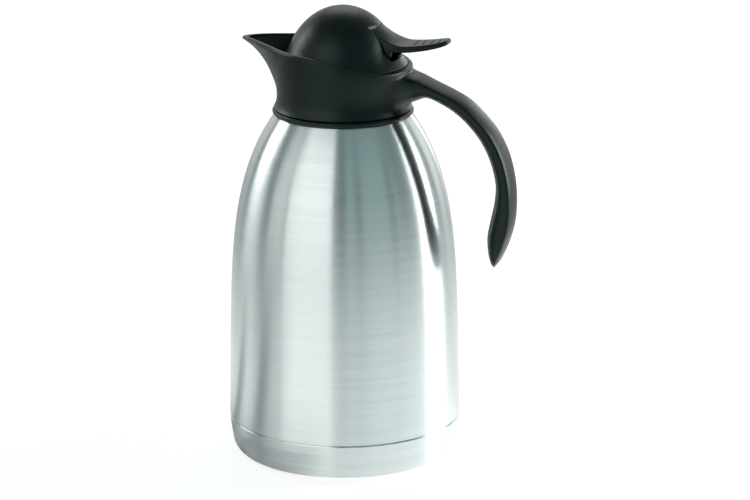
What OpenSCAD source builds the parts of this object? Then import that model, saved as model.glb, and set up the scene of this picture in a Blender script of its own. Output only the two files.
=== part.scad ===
// Thermal carafe: double-walled steel flask, one-piece collar with spout and
// open handle, and a screw-in pour-through stopper with a domed lid and a
// thumb lever that lifts a spring-loaded valve.
// +Z is up, the origin is on the body axis at the underside of the base,
// +X points to the handle and -X to the spout.

/* [Steel body] */
// Largest diameter of the steel body, at the seam
body_d = 147; // [140:1:156]
// Height of the seam between the base cup and the body
seam_z = 24; // [20:1:30]
// Height at which the shoulder disappears under the collar
shoulder_z = 214; // [200:1:224]
// Radius lost by the straight taper between seam and shoulder
taper_in = 3.6; // [2:0.2:6]
// Radius lost by the rounded shoulder
shoulder_in = 23.5; // [22:0.5:25]
// Power of the shoulder curve, larger keeps the body straight for longer
shoulder_pow = 5; // [4:0.5:6]
// Sheet thickness of the outer shell
shell_t = 1; // [0.8:0.1:1.4]
// Sheet thickness of the inner flask
flask_t = 0.9; // [0.7:0.1:1.2]
// Vacuum gap between the outer shell and the inner flask
vac_gap = 6.6; // [4:0.2:9]
// Outer radius of the steel neck
neck_r = 36; // [34:0.5:37]
// Height of the straight neck above the shoulder
neck_h = 9; // [7:0.5:12]
// Vacuum gap inside the neck
neck_gap = 1.1; // [0.8:0.1:1.4]

/* [Base] */
// Sheet thickness of the base cup
cup_t = 1.2; // [1:0.1:1.6]
// Radius of the flat underside
foot_r = 63; // [56:1:66]
// Height at which the corner of the base cup ends
cup_corner_h = 10; // [8:0.5:12]
// Radius lost between the seam and the corner of the base cup
cup_in = 1.7; // [0.5:0.1:3]
// Width of the dark seam groove
seam_w = 0.7; // [0.4:0.1:1]
// Depth of the pressed ring in the underside
foot_ring_h = 0.8; // [0.4:0.1:1]
// Height of the vacuum bottom above the rest plane
bottom_z = 5; // [4:0.5:6]
// Radius of the evacuation port
port_r = 2.5; // [2:0.1:3]

/* [Collar and spout] */
// Largest radius of the bead at the foot of the collar
bead_r = 44.3; // [43.8:0.1:45]
// Radius of the waist above the bead
waist_r = 41.4; // [41:0.1:42.4]
// Outer radius of the rim away from the spout
rim_r = 43.7; // [43.4:0.1:45]
// Wall thickness of the collar at the rim
rim_t = 2.8; // [2.2:0.1:3]
// Height of the rim above the collar foot at the spout side
rim_front_h = 43; // [41:0.5:46]
// How much lower the rim is above the handle
rim_drop = 11.8; // [9:0.2:12.6]
// Distance of the spout tip from the axis
spout_l = 67.5; // [60:0.5:70]
// Rise of the spout tip above the rest of the rim
spout_rise = 2.4; // [0:0.1:3]
// Angle over which the spout tip is rounded
spout_round = 4; // [2:0.5:8]
// Radius of the threaded opening of the collar
thread_r = 38.2; // [37.8:0.1:38.4]

/* [Handle] */
// Width of the handle
handle_w = 23.5; // [20:0.5:28]
// Bulge of the handle's back face
handle_bulge = 0.9; // [0:0.1:1.4]
// Extra half width where the handle meets the collar
handle_flare = 6; // [0:0.2:7]

/* [Lid dome] */
// Radius of the dome's ellipse
dome_r = 37.3; // [36.5:0.1:37.8]
// Height of the dome's ellipse
dome_h = 45.8; // [44:0.2:50]
// Wall thickness of the dome
dome_t = 2.4; // [2:0.1:2.8]
// Gap between the dome's foot and the rim of the collar
dome_gap = 0.5; // [0.4:0.1:1]
// Height of the slot's floor above the dome's foot
slot_floor = 5; // [4.6:0.2:6]
// Distance of the slot's front edge from the axis
slot_front_r = 24.3; // [23.6:0.1:26]

/* [Thumb lever] */
// Width of the lever inside the slot
lever_w = 25; // [22:0.5:26]
// Distance of the lever tip from the axis
lever_l = 69; // [64:0.5:76]
// Distance of the lever's pivot from the axis
pivot_x = 22; // [20:0.5:23]
// Radius of the lever pin
pin_r = 2; // [1.6:0.1:2.4]
// Skin thickness of the lever
lever_t = 2.3; // [1.8:0.1:2.6]

/* [Stopper and valve] */
// Clearance between the plug and the neck, which the seal bridges
plug_gap = 2; // [1.4:0.1:4]
// Length of the plug below the lip of the neck
plug_l = 28; // [24:0.5:32]
// Wall thickness of the stopper
stopper_t = 2.2; // [1.8:0.1:2.6]
// Radius of the opening in the plug's floor
port_open_r = 11; // [8:0.5:12]
// Radius of the valve disc
valve_r = 16; // [15.4:0.2:18]
// Radius of the valve rod
rod_r = 2.5; // [2:0.1:2.8]
// Mean radius of the spring's coils
spring_r = 7.2; // [6.8:0.1:8]
// Radius of the spring's wire
wire_r = 0.6; // [0.4:0.05:0.7]
// Turns of the spring
spring_turns = 7; // [5:1:9]

/* [Fits] */
// Clearance between a running pin or rod and its bore
run_fit = 0.05; // [0.02:0.01:0.1]
// Clearance between pieces that are pressed or clamped together
seat_fit = 0.1; // [0.05:0.05:0.2]
// Clearance between pieces that move past each other
move_gap = 0.3; // [0.25:0.05:0.4]

/* [Hidden] */
$fn = 96;

steel = [0.72, 0.72, 0.71];
black = [0.12, 0.13, 0.12];
rubber = [0.2, 0.2, 0.2];

body_r = body_d / 2;
// heights of the neck, the lip and the collar
foot_z = shoulder_z + 5.6;
neck_z = foot_z + 5.4;
lip_z = neck_z + neck_h;
gasket_h = 2;
ledge_z = lip_z + gasket_h;
thread_z = ledge_z + 2;
thread_top = thread_z + 8;
rim_z = foot_z + rim_front_h;
neck_in_r = neck_r - shell_t - neck_gap - flask_t;

// heights of the dome and the lever
dome_foot = thread_top + 4.6;
dome_z = thread_top - 4.5;
slot_z = dome_foot + slot_floor + 0.4;
pivot_z = dome_foot + 13.4;
lever_hw = lever_w / 2;
slot_hw = lever_hw + move_gap;
ear_t = 3;
pin_half = slot_hw + ear_t;

// radius of the plug, which follows the neck that it goes into
plug_r = neck_in_r - plug_gap;
// groove for the plug's seal
groove_d = 1.4;
groove_h = 5;
groove_z = lip_z - 4 - groove_h;

// heights of the stopper and the valve
plug_z = lip_z - plug_l - 1;
floor_t = 2.6;
seat_top = plug_z + floor_t + 1.6;
seal_h = 1.5;
disc_z = seat_top + move_gap + seal_h;
disc_t = 2.5;
cap_z = pivot_z - 2;
guide_z = thread_top - 1;
wall_top = dome_foot + 0.6;
screw_r = thread_r - 0.7;

function clamp01(v) = max(0, min(1, v));
function ease(v) = clamp01(v) * clamp01(v) * (3 - 2 * clamp01(v));
function mix(a, b, v) = a + (b - a) * v;

// radius of the outer steel surface at height z, from the seam to the collar
function body_at(z) = body_r - taper_in * shape_t(z) - shoulder_in * pow(shape_t(z), shoulder_pow);
function shape_t(z) = max(0, z - seam_z) / (shoulder_z - seam_z);

shoulder_end = foot_z - 0.6;
body_rows = [for (i = [0 : 30]) mix(seam_z + seam_w / 2, shoulder_end, 1 - pow(1 - i / 30, 1.4))];

// outer edge of the shell from the seam to the lip, moved inwards by d
function shell_line(d, first = 0) = concat(
    [for (i = [first : 30]) let (z = body_rows[i]) [body_at(z) - d, z - 0.62 * d * ease((z - seam_z) / 190)]],
    [[mix(body_at(shoulder_end), neck_r, 0.86) - d * 0.9, neck_z - 2.1 - d * 0.9],
     [neck_r + 0.4 - d, neck_z - 1.2 - d * 0.5],
     [neck_r - d, neck_z]]);

skirt_r = body_r - cup_in - cup_t - seat_fit;
skirt_z = cup_corner_h + 1.5;

module outer_shell() {
    color(steel) rotate_extrude($fn = 128) polygon(concat(
        [[skirt_r, skirt_z], [skirt_r, seam_z - seam_w / 2], [body_r - 0.9, seam_z - seam_w / 2],
         [body_r - 0.9, seam_z + seam_w / 2 - 0.3], [body_r - 0.3, seam_z + seam_w / 2 - 0.1]],
        shell_line(0),
        [[neck_r, lip_z], [neck_r - shell_t, lip_z]],
        reversed(shell_line(shell_t, 1)),
        [[body_r - shell_t - 0.1, seam_z + 1.8], [body_r - shell_t - 0.8, seam_z + 0.8],
         [skirt_r - shell_t + 0.4, seam_z + 0.8], [skirt_r - shell_t, seam_z + 0.3], [skirt_r - shell_t, skirt_z]]));
}

function reversed(a) = [for (i = [len(a) - 1 : -1 : 0]) a[i]];

flask_floor = bottom_z + 1 + 5.5;
flask_corner = 18;
flask_gap = shell_t + vac_gap;
flask_rows = [for (i = [0 : 22]) mix(flask_floor + flask_corner, shoulder_end - 6, 1 - pow(1 - i / 22, 1.4))];

// outer edge of the inner flask moved inwards by d
function flask_line(d) = concat(
    [[0, flask_floor + d]],
    [for (i = [0 : 8]) [body_at(seam_z) - flask_gap - 0.2 - flask_corner + (flask_corner - d) * sin(i * 90 / 8),
        flask_floor + flask_corner - (flask_corner - d) * cos(i * 90 / 8)]],
    [for (i = [1 : 22]) [max(body_at(flask_rows[i]) - flask_gap, neck_in_r + flask_t + 2.4) - d, flask_rows[i] - 0.6 * d * ease(i / 22)]],
    [[neck_in_r + flask_t + 2.4 - d, neck_z - 9 - d * 0.8], [neck_in_r + flask_t - d, neck_z - 3]]);

module inner_flask() {
    color(steel) rotate_extrude($fn = 128) polygon(concat(
        flask_line(0),
        [[neck_in_r + flask_t, lip_z - 1.2], [neck_r - shell_t, lip_z - 0.8], [neck_r - shell_t, lip_z],
         [neck_in_r, lip_z]],
        reversed(flask_line(flask_t))));
}

disc_r = skirt_r - shell_t;
// dished edge of the vacuum bottom moved inwards by d
dish_w = 14;
boss_r = 9;
function dish_line(d) = [for (i = [0 : 6]) [disc_r - d - (dish_w - d) * (1 - sin(i * 15)), bottom_z + d + (skirt_z - bottom_z - 1) * (1 - cos(i * 15))]];
module shell_bottom() {
    color(steel) difference() {
        rotate_extrude($fn = 96) polygon(concat(
            [[0, bottom_z + 1.6], [boss_r - 1, bottom_z + 1.6], [boss_r, bottom_z]],
            dish_line(0),
            [[disc_r, skirt_z + 6], [disc_r - 1, skirt_z + 6]],
            reversed(dish_line(1)),
            [[boss_r + 1, bottom_z + 1], [boss_r, bottom_z + 2.6], [0, bottom_z + 2.6]]));
        translate([0, 0, bottom_z - 1])
            cylinder(r = port_r, h = 6);
    }
}

module port_seal() {
    color([0.6, 0.5, 0.3]) union() {
        translate([0, 0, bottom_z + 0.4])
            cylinder(r = port_r + 2, h = 1.2);
        translate([0, 0, bottom_z + 1])
            cylinder(r = port_r, h = 1.6);
    }
}

module getter() {
    color([0.5, 0.5, 0.5]) translate([30, 0, bottom_z + 1])
        difference() {
            cylinder(r = 5, h = 2.4);
            translate([0, 0, 1.4])
                cylinder(r = 4, h = 2);
        }
}

// edge of the base cup moved inwards by d, from the axis to the rim
function cup_line(d) = concat(
    [[foot_r - 16, d], [foot_r - 15, d + foot_ring_h], [foot_r - 11, d + foot_ring_h], [foot_r - 10, d]],
    [for (i = [0 : 8]) [foot_r + (body_r - cup_in - foot_r - d) * sin(i * 90 / 8),
        cup_corner_h - (cup_corner_h - d) * cos(i * 90 / 8)]],
    [[body_r - cup_in * 0.25 - d, mix(cup_corner_h, seam_z, 0.55)], [body_r - 0.1 - d, seam_z - seam_w / 2 - 0.6]]);

module base_cup() {
    color(steel) rotate_extrude($fn = 128) polygon(concat(
        [[0, 0]],
        cup_line(0),
        [[body_r - 0.4, seam_z - seam_w / 2], [body_r - cup_t, seam_z - seam_w / 2]],
        reversed(cup_line(cup_t)),
        [[0, cup_t]]));
}

// height of the rim at the angle a measured from the spout
function rim_at(a) = rim_z - rim_drop * ease((20 - rim_r * cos(a)) / 64) + spout_rise * ease(1 - abs(a) / 42);
// radius of the collar without its spout, at height z under a rim at height t
function ring_at(z, t) = mix(waist_r, rim_r, ease((z - foot_z - 11.4) / (t - foot_z - 11.4)));
// distance of the spout's ridge from the axis at height z
function ridge_at(z) = waist_r + 0.1 + (spout_l - waist_r - 0.1) * ridge_share(max(0, z - foot_z - 11.4) / (rim_z + spout_rise - foot_z - 11.4));
function ridge_share(t) = 0.6 * t + 0.4 * pow(t, 4.2);
// plan of the collar: a circle of radius r with straight sides that meet at the distance l
function plan_at(a, r, l) = l <= r * 1.002 ? r : plan_side(r, acos(r / l) + spout_round, sqrt(a * a + spout_round * spout_round));
function plan_side(r, t, a) = a >= t ? r : r / cos(t - a);

steps_a = 96;
// angles from the spout, closer together near its tip
function turn_at(i) = spread(2 * i / steps_a - 1);
function spread(u) = 180 * (0.62 * u + 0.38 * u * u * u);

rise_rows = [0.1, 0.22, 0.34, 0.46, 0.58, 0.7, 0.8, 0.89, 0.96];
low_rows = [[bead_r - 0.6, 0], [bead_r - 0.12, 0.9], [bead_r, 2.1], [bead_r - 0.15, 3.2], [bead_r - 0.75, 4.1],
    [mix(waist_r, bead_r, 0.6), 4.8], [mix(waist_r, bead_r, 0.3), 6.2], [mix(waist_r, bead_r, 0.09), 8.4], [waist_r, 11.4]];
inner_rows = [0.93, 0.82, 0.66, 0.46, 0.24, 0];
flare_z = thread_top + 2.4;

// one upright section of the collar at the angle a from the spout
function collar_section(a) = let (t = rim_at(a), tp = t - 1.3) concat(
    [for (p = low_rows) [p[0], foot_z + p[1]]],
    [for (s = rise_rows) let (z = mix(foot_z + 11.4, tp, s)) [plan_at(a, ring_at(z, t), ridge_at(z)), z]],
    [for (s = [[0, 0], [0.2, 0.75], [0.55, 1.15], [1, 1.3]]) let (p = plan_at(a, rim_r, ridge_at(tp)))
        [p - s[0] * rim_t / 2 * p / rim_r, tp + s[1]]],
    [for (s = [[0.45, 1.15], [0.8, 0.75], [1, 0]]) let (p = plan_at(a, rim_r, ridge_at(tp)))
        [p - (1 + s[0]) * rim_t / 2 * p / rim_r, tp + s[1]]],
    [for (s = inner_rows) let (z = mix(flare_z, tp, s), p = plan_at(a, rim_r, ridge_at(z))) [p * (rim_r - rim_t) / rim_r, z]],
    [[thread_r, thread_top], [thread_r, thread_z], [neck_in_r + 0.6, thread_z], [neck_in_r + 0.6, ledge_z],
     [neck_r + seat_fit, ledge_z], [neck_r + seat_fit, neck_z], [neck_r + 1.6, neck_z - 1.3],
     [bead_r - 1.2, foot_z + 0.2]]);

// surface closed both round the axis and along the section
module ring_solid(sections) {
    n = len(sections);
    m = len(sections[0]);
    polyhedron(
        points = [for (s = sections) for (p = s) p],
        faces = [for (i = [0 : n - 1]) for (j = [0 : m - 1]) for (f = [0, 1])
            let (i2 = (i + 1) % n, j2 = (j + 1) % m)
            f == 0 ? [i * m + j, i2 * m + j2, i2 * m + j] : [i * m + j, i * m + j2, i2 * m + j2]],
        convexity = 6);
}

// skin through rings of points, closed by a fan at each end
module loft_solid(rings) {
    n = len(rings);
    m = len(rings[0]);
    polyhedron(
        points = concat([for (r = rings) for (p = r) p], [centre(rings[0]), centre(rings[n - 1])]),
        faces = concat(
            [for (i = [0 : n - 2]) for (j = [0 : m - 1]) for (f = [0, 1])
                let (j2 = (j + 1) % m)
                f == 0 ? [i * m + j, (i + 1) * m + j2, (i + 1) * m + j] : [i * m + j, i * m + j2, (i + 1) * m + j2]],
            [for (j = [0 : m - 1]) [n * m, (j + 1) % m, j]],
            [for (j = [0 : m - 1]) [n * m + 1, (n - 1) * m + j, (n - 1) * m + (j + 1) % m]]),
        convexity = 6);
}

function centre(a) = sum(a, 0) / len(a);
function sum(a, i) = i == len(a) - 1 ? a[i] : a[i] + sum(a, i + 1);

module collar_ring() {
    ring_solid([for (i = [0 : steps_a - 1]) let (a = turn_at(i))
        [for (p = collar_section(a)) [-p[0] * cos(a), -p[0] * sin(a), p[1]]]]);
}

// Handle stations from the collar to the free tip: the back line, the inner
// line and the half width, as distance from the axis and height over the foot
hw = handle_w / 2;
grip = [
    [[40, 29.6], [40, 1.5], hw + handle_flare],
    [[44, 28.4], [44, 5.6], hw + handle_flare * 0.42],
    [[51, 25.6], [49, 10.7], hw + handle_flare * 0.08],
    [[61.2, 21.1], [55.8, 12.6], hw],
    [[71.3, 16.6], [66, 8.4], hw],
    [[80.9, 11.2], [74.5, 3], hw],
    [[90.4, 2.4], [82.5, -4.4], hw],
    [[98.6, -7.3], [89.8, -14], hw],
    [[105.5, -20.9], [95.2, -25.4], hw],
    [[109.6, -36.6], [98.6, -39], hw],
    [[110.9, -51.6], [98, -51.2], hw],
    [[109.9, -66.1], [95.5, -63.2], hw],
    [[106.5, -78.6], [93.6, -73.8], hw],
    [[102.9, -87.4], [94.2, -83], hw * 0.86],
    [[100.3, -92], [95.8, -89.8], hw * 0.6],
    [[98.8, -93.8], [97.5, -93.4], hw * 0.22]];

// smooth curve through the stations
function spline(a, b, c, d, u) = b + 0.5 * u * (c - a + u * (2 * a - 5 * b + 4 * c - d + u * (3 * (b - c) + d - a)));
function pick(a, i) = a[max(0, min(len(a) - 1, i))];
function grip_at(i, u, k) = spline(pick(grip, i - 1)[k], pick(grip, i)[k], pick(grip, i + 1)[k], pick(grip, i + 2)[k], u);
grip_sub = 3;
grip_steps = [for (i = [0 : len(grip) - 2]) for (j = [0 : grip_sub - 1]) [i, j / grip_sub]];

// section of the handle: a flat bulged back with crisp edges and a rounded inner side
function grip_ring(o, n, w, first) = let (t = norm(n - o), e = min(1.2, t * 0.2)) concat(
    [for (v = [-1, -0.6, 0, 0.6, 1]) grip_point(o, n, (e - handle_bulge * (1 - v * v)) / t, v * w, first)],
    [for (q = [1 : 11]) let (f = q * 180 / 12)
        grip_point(o, n, (e + (t - e) * pow(sin(f), 0.75)) / t, w * cos(f) * (1 - 0.06 * sin(f)), first)]);
function grip_point(o, n, u, v, first) = let (x = mix(o[0], n[0], u), z = foot_z + mix(o[1], n[1], u))
    [first ? sqrt(pow(ring_at(z, rim_at(180)) - 1, 2) - v * v) : x, v, z];

module handle() {
    loft_solid(concat(
        [for (s = grip_steps) grip_ring(grip_at(s[0], s[1], 0), grip_at(s[0], s[1], 1), grip_at(s[0], s[1], 2), s == [0, 0])],
        [grip_ring(grip[len(grip) - 1][0], grip[len(grip) - 1][1], grip[len(grip) - 1][2], false)]));
}

module collar() {
    color(black) union() {
        collar_ring();
        handle();
    }
}

module ring(r1, r2, z1, h) {
    translate([0, 0, z1]) difference() {
        cylinder(r = r2, h = h);
        translate([0, 0, -1])
            cylinder(r = r1, h = h + 2);
    }
}

module collar_gasket() {
    color(rubber) ring(neck_in_r + 0.6, neck_r, lip_z, gasket_h);
}

window_a = 30;
// Stopper: plug, seating flange and screw wall in one moulding, with a
// window towards the spout
module stopper_body() {
    t = stopper_t;
    shelf = thread_z + move_gap;
    color(black) difference() {
        rotate_extrude() polygon([
            [port_open_r, plug_z], [plug_r - 2, plug_z], [plug_r, plug_z + 2],
            [plug_r, groove_z], [plug_r - groove_d, groove_z], [plug_r - groove_d, groove_z + groove_h], [plug_r, groove_z + groove_h],
            [plug_r, shelf], [screw_r, shelf], [screw_r, wall_top], [screw_r - t, wall_top],
            [screw_r - t, shelf + t], [plug_r - groove_d - t, shelf + t], [plug_r - groove_d - t, plug_z + floor_t],
            [port_open_r + 3 + seat_fit, plug_z + floor_t], [port_open_r + 3 + seat_fit, plug_z + floor_t - 1.4],
            [port_open_r, plug_z + floor_t - 1.4]]);
        intersection() {
            translate([0, 0, thread_top - 0.2])
                ring(screw_r - t - 2, screw_r + 2, 0, wall_top - thread_top - 0.6);
            translate([0, 0, thread_top - 2])
                linear_extrude(height = 12)
                    polygon([[0, 0], [-60, 60 * tan(window_a)], [-60, -60 * tan(window_a)]]);
        }
    }
}

module valve_seat() {
    color(steel) rotate_extrude() polygon([
        [port_open_r, plug_z + floor_t - 1.4], [port_open_r + 3, plug_z + floor_t - 1.4],
        [port_open_r + 3, seat_top - 0.6], [port_open_r + 2.4, seat_top], [port_open_r + 0.8, seat_top],
        [port_open_r, seat_top - 0.8]]);
}

// ring seal in the plug's groove, with two lips
module stopper_seal() {
    g = plug_r - groove_d + seat_fit;
    lip = neck_in_r - move_gap;
    z0 = groove_z + 2 * seat_fit;
    h = groove_h - 4 * seat_fit;
    color(rubber) rotate_extrude() polygon([
        [g, z0], [plug_r + 0.2, z0], [lip, z0 + 0.22 * h], [lip, z0 + 0.33 * h], [plug_r + 0.2, z0 + 0.48 * h],
        [plug_r + 0.2, z0 + 0.57 * h], [lip, z0 + 0.72 * h], [lip, z0 + 0.83 * h], [plug_r + 0.2, z0 + h], [g, z0 + h]]);
}

foot_edge = rim_r - rim_t - dome_gap;
flare_top = dome_foot + 12;
// height of an ellipse of radius r and height h at the distance x
function oval(r, h, x) = dome_z + h * sqrt(max(0, 1 - x * x / (r * r)));
function oval_r(r, h, z) = r * sqrt(max(0, 1 - pow((z - dome_z) / h, 2)));
// dome surface moved inwards by d, from the flare up to the top
function dome_line(d) = let (a0 = asin((flare_top - dome_z) / dome_h))
    [for (i = [0 : 24]) let (a = mix(a0, 90, i / 24)) [(dome_r - d) * cos(a), dome_z + (dome_h - d) * sin(a)]];
function flare_line(d) = [for (i = [0 : 9]) let (u = i / 10, z = mix(dome_foot + 0.7 + d * 0.3, flare_top, u))
    [oval_r(dome_r, dome_h, z) + (foot_edge - oval_r(dome_r, dome_h, dome_foot + 0.7)) * pow(1 - u, 1.8) - d * (1 + 0.3 * (1 - u)), z]];

// height of the dome at the slot's front edge
lip_front_z = oval(dome_r, dome_h, slot_front_r - move_gap);

module dome_solid() {
    rotate_extrude($fn = 128) polygon(concat([[0, dome_foot]], [[foot_edge - 0.2, dome_foot]], flare_line(0), dome_line(0)));
}

module lid_dome() {
    color(black) difference() {
        union() {
            rotate_extrude($fn = 128) polygon(concat(
                [[screw_r + seat_fit, dome_foot], [foot_edge - 0.2, dome_foot]], flare_line(0), dome_line(0),
                reversed(dome_line(dome_t)),
                reversed([for (i = [3 : 9]) flare_line(dome_t)[i]]),
                [[screw_r - stopper_t - 0.1, wall_top + 2.4], [screw_r - stopper_t - 0.1, wall_top + seat_fit],
                 [screw_r + seat_fit, wall_top + seat_fit]]));
            intersection() {
                dome_ears();
                dome_solid();
            }
        }
        difference() {
            translate([0, -slot_hw, slot_z])
                cube([2 * dome_r, 2 * slot_hw, dome_h + 10]);
            cylinder(r = slot_front_r - move_gap, h = 2 * pivot_z);
        }
        intersection() {
            translate([0, -slot_hw, slot_z])
                cube([2 * dome_r, 2 * slot_hw, dome_h + 10]);
            rotate_extrude($fn = 128) polygon([
                [slot_front_r - 1, lip_front_z + 2], [slot_front_r - 1, lip_front_z + 0.5],
                [slot_front_r - 0.7, lip_front_z], [slot_front_r - 0.4, lip_front_z - 0.7],
                [slot_front_r - 0.3, lip_front_z - 1.4], [slot_front_r + 2, lip_front_z - 1.4],
                [slot_front_r + 2, lip_front_z + 2]]);
        }
        translate([pivot_x, pin_half + 0.2, pivot_z]) rotate([90, 0, 0])
            cylinder(r = pin_r + 0.01, h = 2 * pin_half + 0.4, $fn = 48);
    }
}

// the two bearing cheeks beside the lever, hung from the dome
module dome_ears() {
    for (s = [-1, 1])
        translate([pivot_x - 6, s > 0 ? slot_hw : -slot_hw - ear_t, pivot_z - 5])
            cube([12, ear_t, 30]);
}

// Lever: top line, underside line and half width at the distance x
lever_x0 = pivot_x - 3;
lever_x1 = slot_front_r + 12;
bend_x = slot_front_r + 17.7;
leg_x = lever_x1 - 2.5;
low_top = pivot_z + 1.8;
function lever_top(x) = x < bend_x
    ? low_top + 10.2 * pow((bend_x - x) / 21, 1.75)
    : low_top + 0.05 + 3.9 * pow((x - bend_x) / (lever_l - bend_x), 1.6);
function lever_low(x) = x < lever_x1
    ? pivot_z - 5.2 + 2.9 * ease((x - leg_x) / 0.7)
    : pivot_z - 2.3 + 5.2 * pow((x - lever_x1) / (lever_l - lever_x1), 2.1);
paddle_x = lever_l - 8;
function lever_half(x) = x < lever_x1 ? lever_hw
    : x < paddle_x ? lever_hw * (1 - 0.344 * pow((x - lever_x1) / (paddle_x - lever_x1), 1.2))
    : lever_hw * (0.656 - 0.08 * lever_u(x)) * pow(max(0.004, 1 - pow(lever_u(x), 2.3)), 1 / 2.3);
function lever_u(x) = (x - paddle_x) / (lever_l - paddle_x);
// rise of the top along the middle, which meets the dome flush at the slot's front
function lever_crown(x) = 0.2 + 3 * ease((lever_x1 + 3 - x) / 15);

// share of its thickness that the lever keeps towards its rounded nose
function lever_nose(x) = sqrt(1 - 0.8 * pow(clamp01((x - lever_l + 2.6) / 2.6), 2));

// rounded section of the lever at the distance x
function lever_ring(x) = let (w = lever_half(x), m = (lever_top(x) + lever_low(x)) / 2, k = lever_nose(x),
    t = mix(m, lever_top(x), k), b = mix(m, lever_low(x), k), c = min(1, (t - b) / 3, w / 3))
    concat(
        [for (v = [-0.7, -0.35, 0, 0.35, 0.7]) [x, v * w, t + lever_crown(x) * (1 - v * v) * min(1, w / 6)]],
        [for (q = [0 : 3]) let (f = 90 - q * 30) [x, w - c + c * cos(f), t - c + c * sin(f)]],
        [for (q = [0 : 2]) let (f = -q * 45) [x, w - c + c * cos(f), b + c + c * sin(f)]],
        [for (q = [0 : 2]) let (f = -90 - q * 45) [x, -w + c + c * cos(f), b + c + c * sin(f)]],
        [for (q = [0 : 3]) let (f = 180 - q * 30) [x, -w + c + c * cos(f), t - c + c * sin(f)]]);

lever_rows = concat(
    [for (i = [0 : 7]) mix(lever_x0, leg_x, i / 7)],
    [leg_x + 0.35, leg_x + 0.7],
    [for (i = [0 : 9]) mix(lever_x1, paddle_x, i / 9)],
    [for (u = [0.25, 0.5, 0.7, 0.84, 0.93, 0.985]) mix(paddle_x, lever_l, u)]);

arm_z = cap_z - move_gap;
nub_r = 1.5;
module thumb_lever() {
    color(black) difference() {
        union() {
            difference() {
                intersection() {
                    loft_solid([for (x = lever_rows) lever_ring(x)]);
                    union() {
                        difference() {
                            translate([0, -lever_w, dome_foot])
                                cube([lever_l + 20, 2 * lever_w, dome_h + 20]);
                            cylinder(r = slot_front_r, h = 2 * pivot_z);
                        }
                        translate([0, -lever_w, dome_foot])
                            cube([lever_l + 20, 2 * lever_w, pivot_z + 5 - dome_foot]);
                    }
                }
                lever_pocket();
            }
            translate([pivot_x, lever_hw, pivot_z]) rotate([90, 0, 0])
                cylinder(r = pin_r + 2.4, h = lever_w, $fn = 48);
            lever_arms();
        }
        translate([pivot_x, lever_w, pivot_z]) rotate([90, 0, 0])
            cylinder(r = pin_r + run_fit, h = 2 * lever_w, $fn = 48);
    }
}

// hollow under the lever's skin, between its two cheeks
module lever_pocket() {
    w = lever_hw - lever_t;
    x2 = lever_x1 + 1;
    translate([0, w, 0]) rotate([90, 0, 0]) linear_extrude(height = 2 * w)
        polygon(concat(
            [[lever_x0 - 1, pivot_z - 10], [x2, pivot_z - 10]],
            [for (i = [0 : 8]) let (x = mix(x2, slot_front_r + lever_t - 0.5, i / 8)) [x, lever_top(x) - lever_t]],
            [[slot_front_r + lever_t - 0.5, pivot_z + 5], [lever_x0 - 1, pivot_z + 5]]));
}

// fork that reaches round the rod and carries the lifting nubs
module lever_arms() {
    for (s = [-1, 1]) translate([0, s * (rod_r + 2.4), 0]) {
        translate([0, -1.6, arm_z - 4])
            cube([pivot_x, 3.2, 2.8]);
        translate([0, 1.6, arm_z - nub_r]) rotate([90, 0, 0])
            cylinder(r = nub_r, h = 3.2, $fn = 32);
        translate([-nub_r, -1.6, arm_z - 4])
            cube([nub_r + 2, 3.2, 2.6]);
    }
}

module lever_pin() {
    color(steel) translate([pivot_x, pin_half, pivot_z]) rotate([90, 0, 0])
        cylinder(r = pin_r, h = 2 * pin_half, $fn = 48);
}

module valve_rod() {
    color(steel) translate([0, 0, disc_z])
        cylinder(r = rod_r, h = cap_z + 1.4 - disc_z, $fn = 48);
}

module rod_cap() {
    color(black) difference() {
        rotate_extrude($fn = 64) polygon([[0, cap_z], [6.6, cap_z], [7, cap_z + 0.4], [7, cap_z + 1.8], [5.8, cap_z + 2.8], [0, cap_z + 2.8]]);
        translate([0, 0, cap_z - 1])
            cylinder(r = rod_r + 0.01, h = 2.4, $fn = 48);
    }
}

module valve_disc() {
    color(black) difference() {
        rotate_extrude($fn = 64) polygon([
            [0, disc_z], [valve_r, disc_z], [valve_r, disc_z + disc_t - 0.8], [valve_r - 1, disc_z + disc_t],
            [5.4, disc_z + disc_t], [5, disc_z + disc_t + 0.4], [5, disc_z + disc_t + 3], [0, disc_z + disc_t + 3]]);
        translate([0, 0, disc_z - 1])
            cylinder(r = rod_r + 0.01, h = 20, $fn = 48);
    }
}

module valve_seal() {
    color(rubber) ring(port_open_r - 1, valve_r - 1, seat_top + move_gap, seal_h);
}

spring_z0 = disc_z + disc_t + wire_r + 0.1;
spring_z1 = guide_z - wire_r - 0.1;
// helical wire with flat closed ends
function coil_z(u) = mix(spring_z0, spring_z1, clamp01((u - 0.08) / 0.84));
spring_steps = spring_turns * 8;
module valve_spring() {
    color(steel) loft_solid([for (i = [0 : spring_steps]) let (u = i / spring_steps, a = 360 * spring_turns * u)
        [for (q = [0 : 5]) let (f = q * 60)
            [(spring_r + wire_r * cos(f)) * cos(a), (spring_r + wire_r * cos(f)) * sin(a), coil_z(u) + wire_r * sin(f)]]]);
}

// deck that closes the stopper and guides the rod
guide_r = 9;
neck_of_guide_r = 6;
module rod_guide() {
    color(black) difference() {
        rotate_extrude() polygon([
            [0, guide_z], [guide_r, guide_z], [guide_r, guide_z + 1.6], [neck_of_guide_r, guide_z + 2.6],
            [neck_of_guide_r, wall_top], [screw_r - stopper_t - 0.2, wall_top], [screw_r - stopper_t - 0.2, wall_top + 2],
            [neck_of_guide_r + 1, wall_top + 2], [neck_of_guide_r - 0.6, wall_top + 4], [0, wall_top + 4]]);
        translate([0, 0, guide_z - 1])
            cylinder(r = rod_r + run_fit, h = wall_top + 6 - guide_z, $fn = 48);
        translate([0, 0, guide_z - 1])
            cylinder(r = rod_r + 1.9, h = 3.2, $fn = 48);
    }
}

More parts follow.
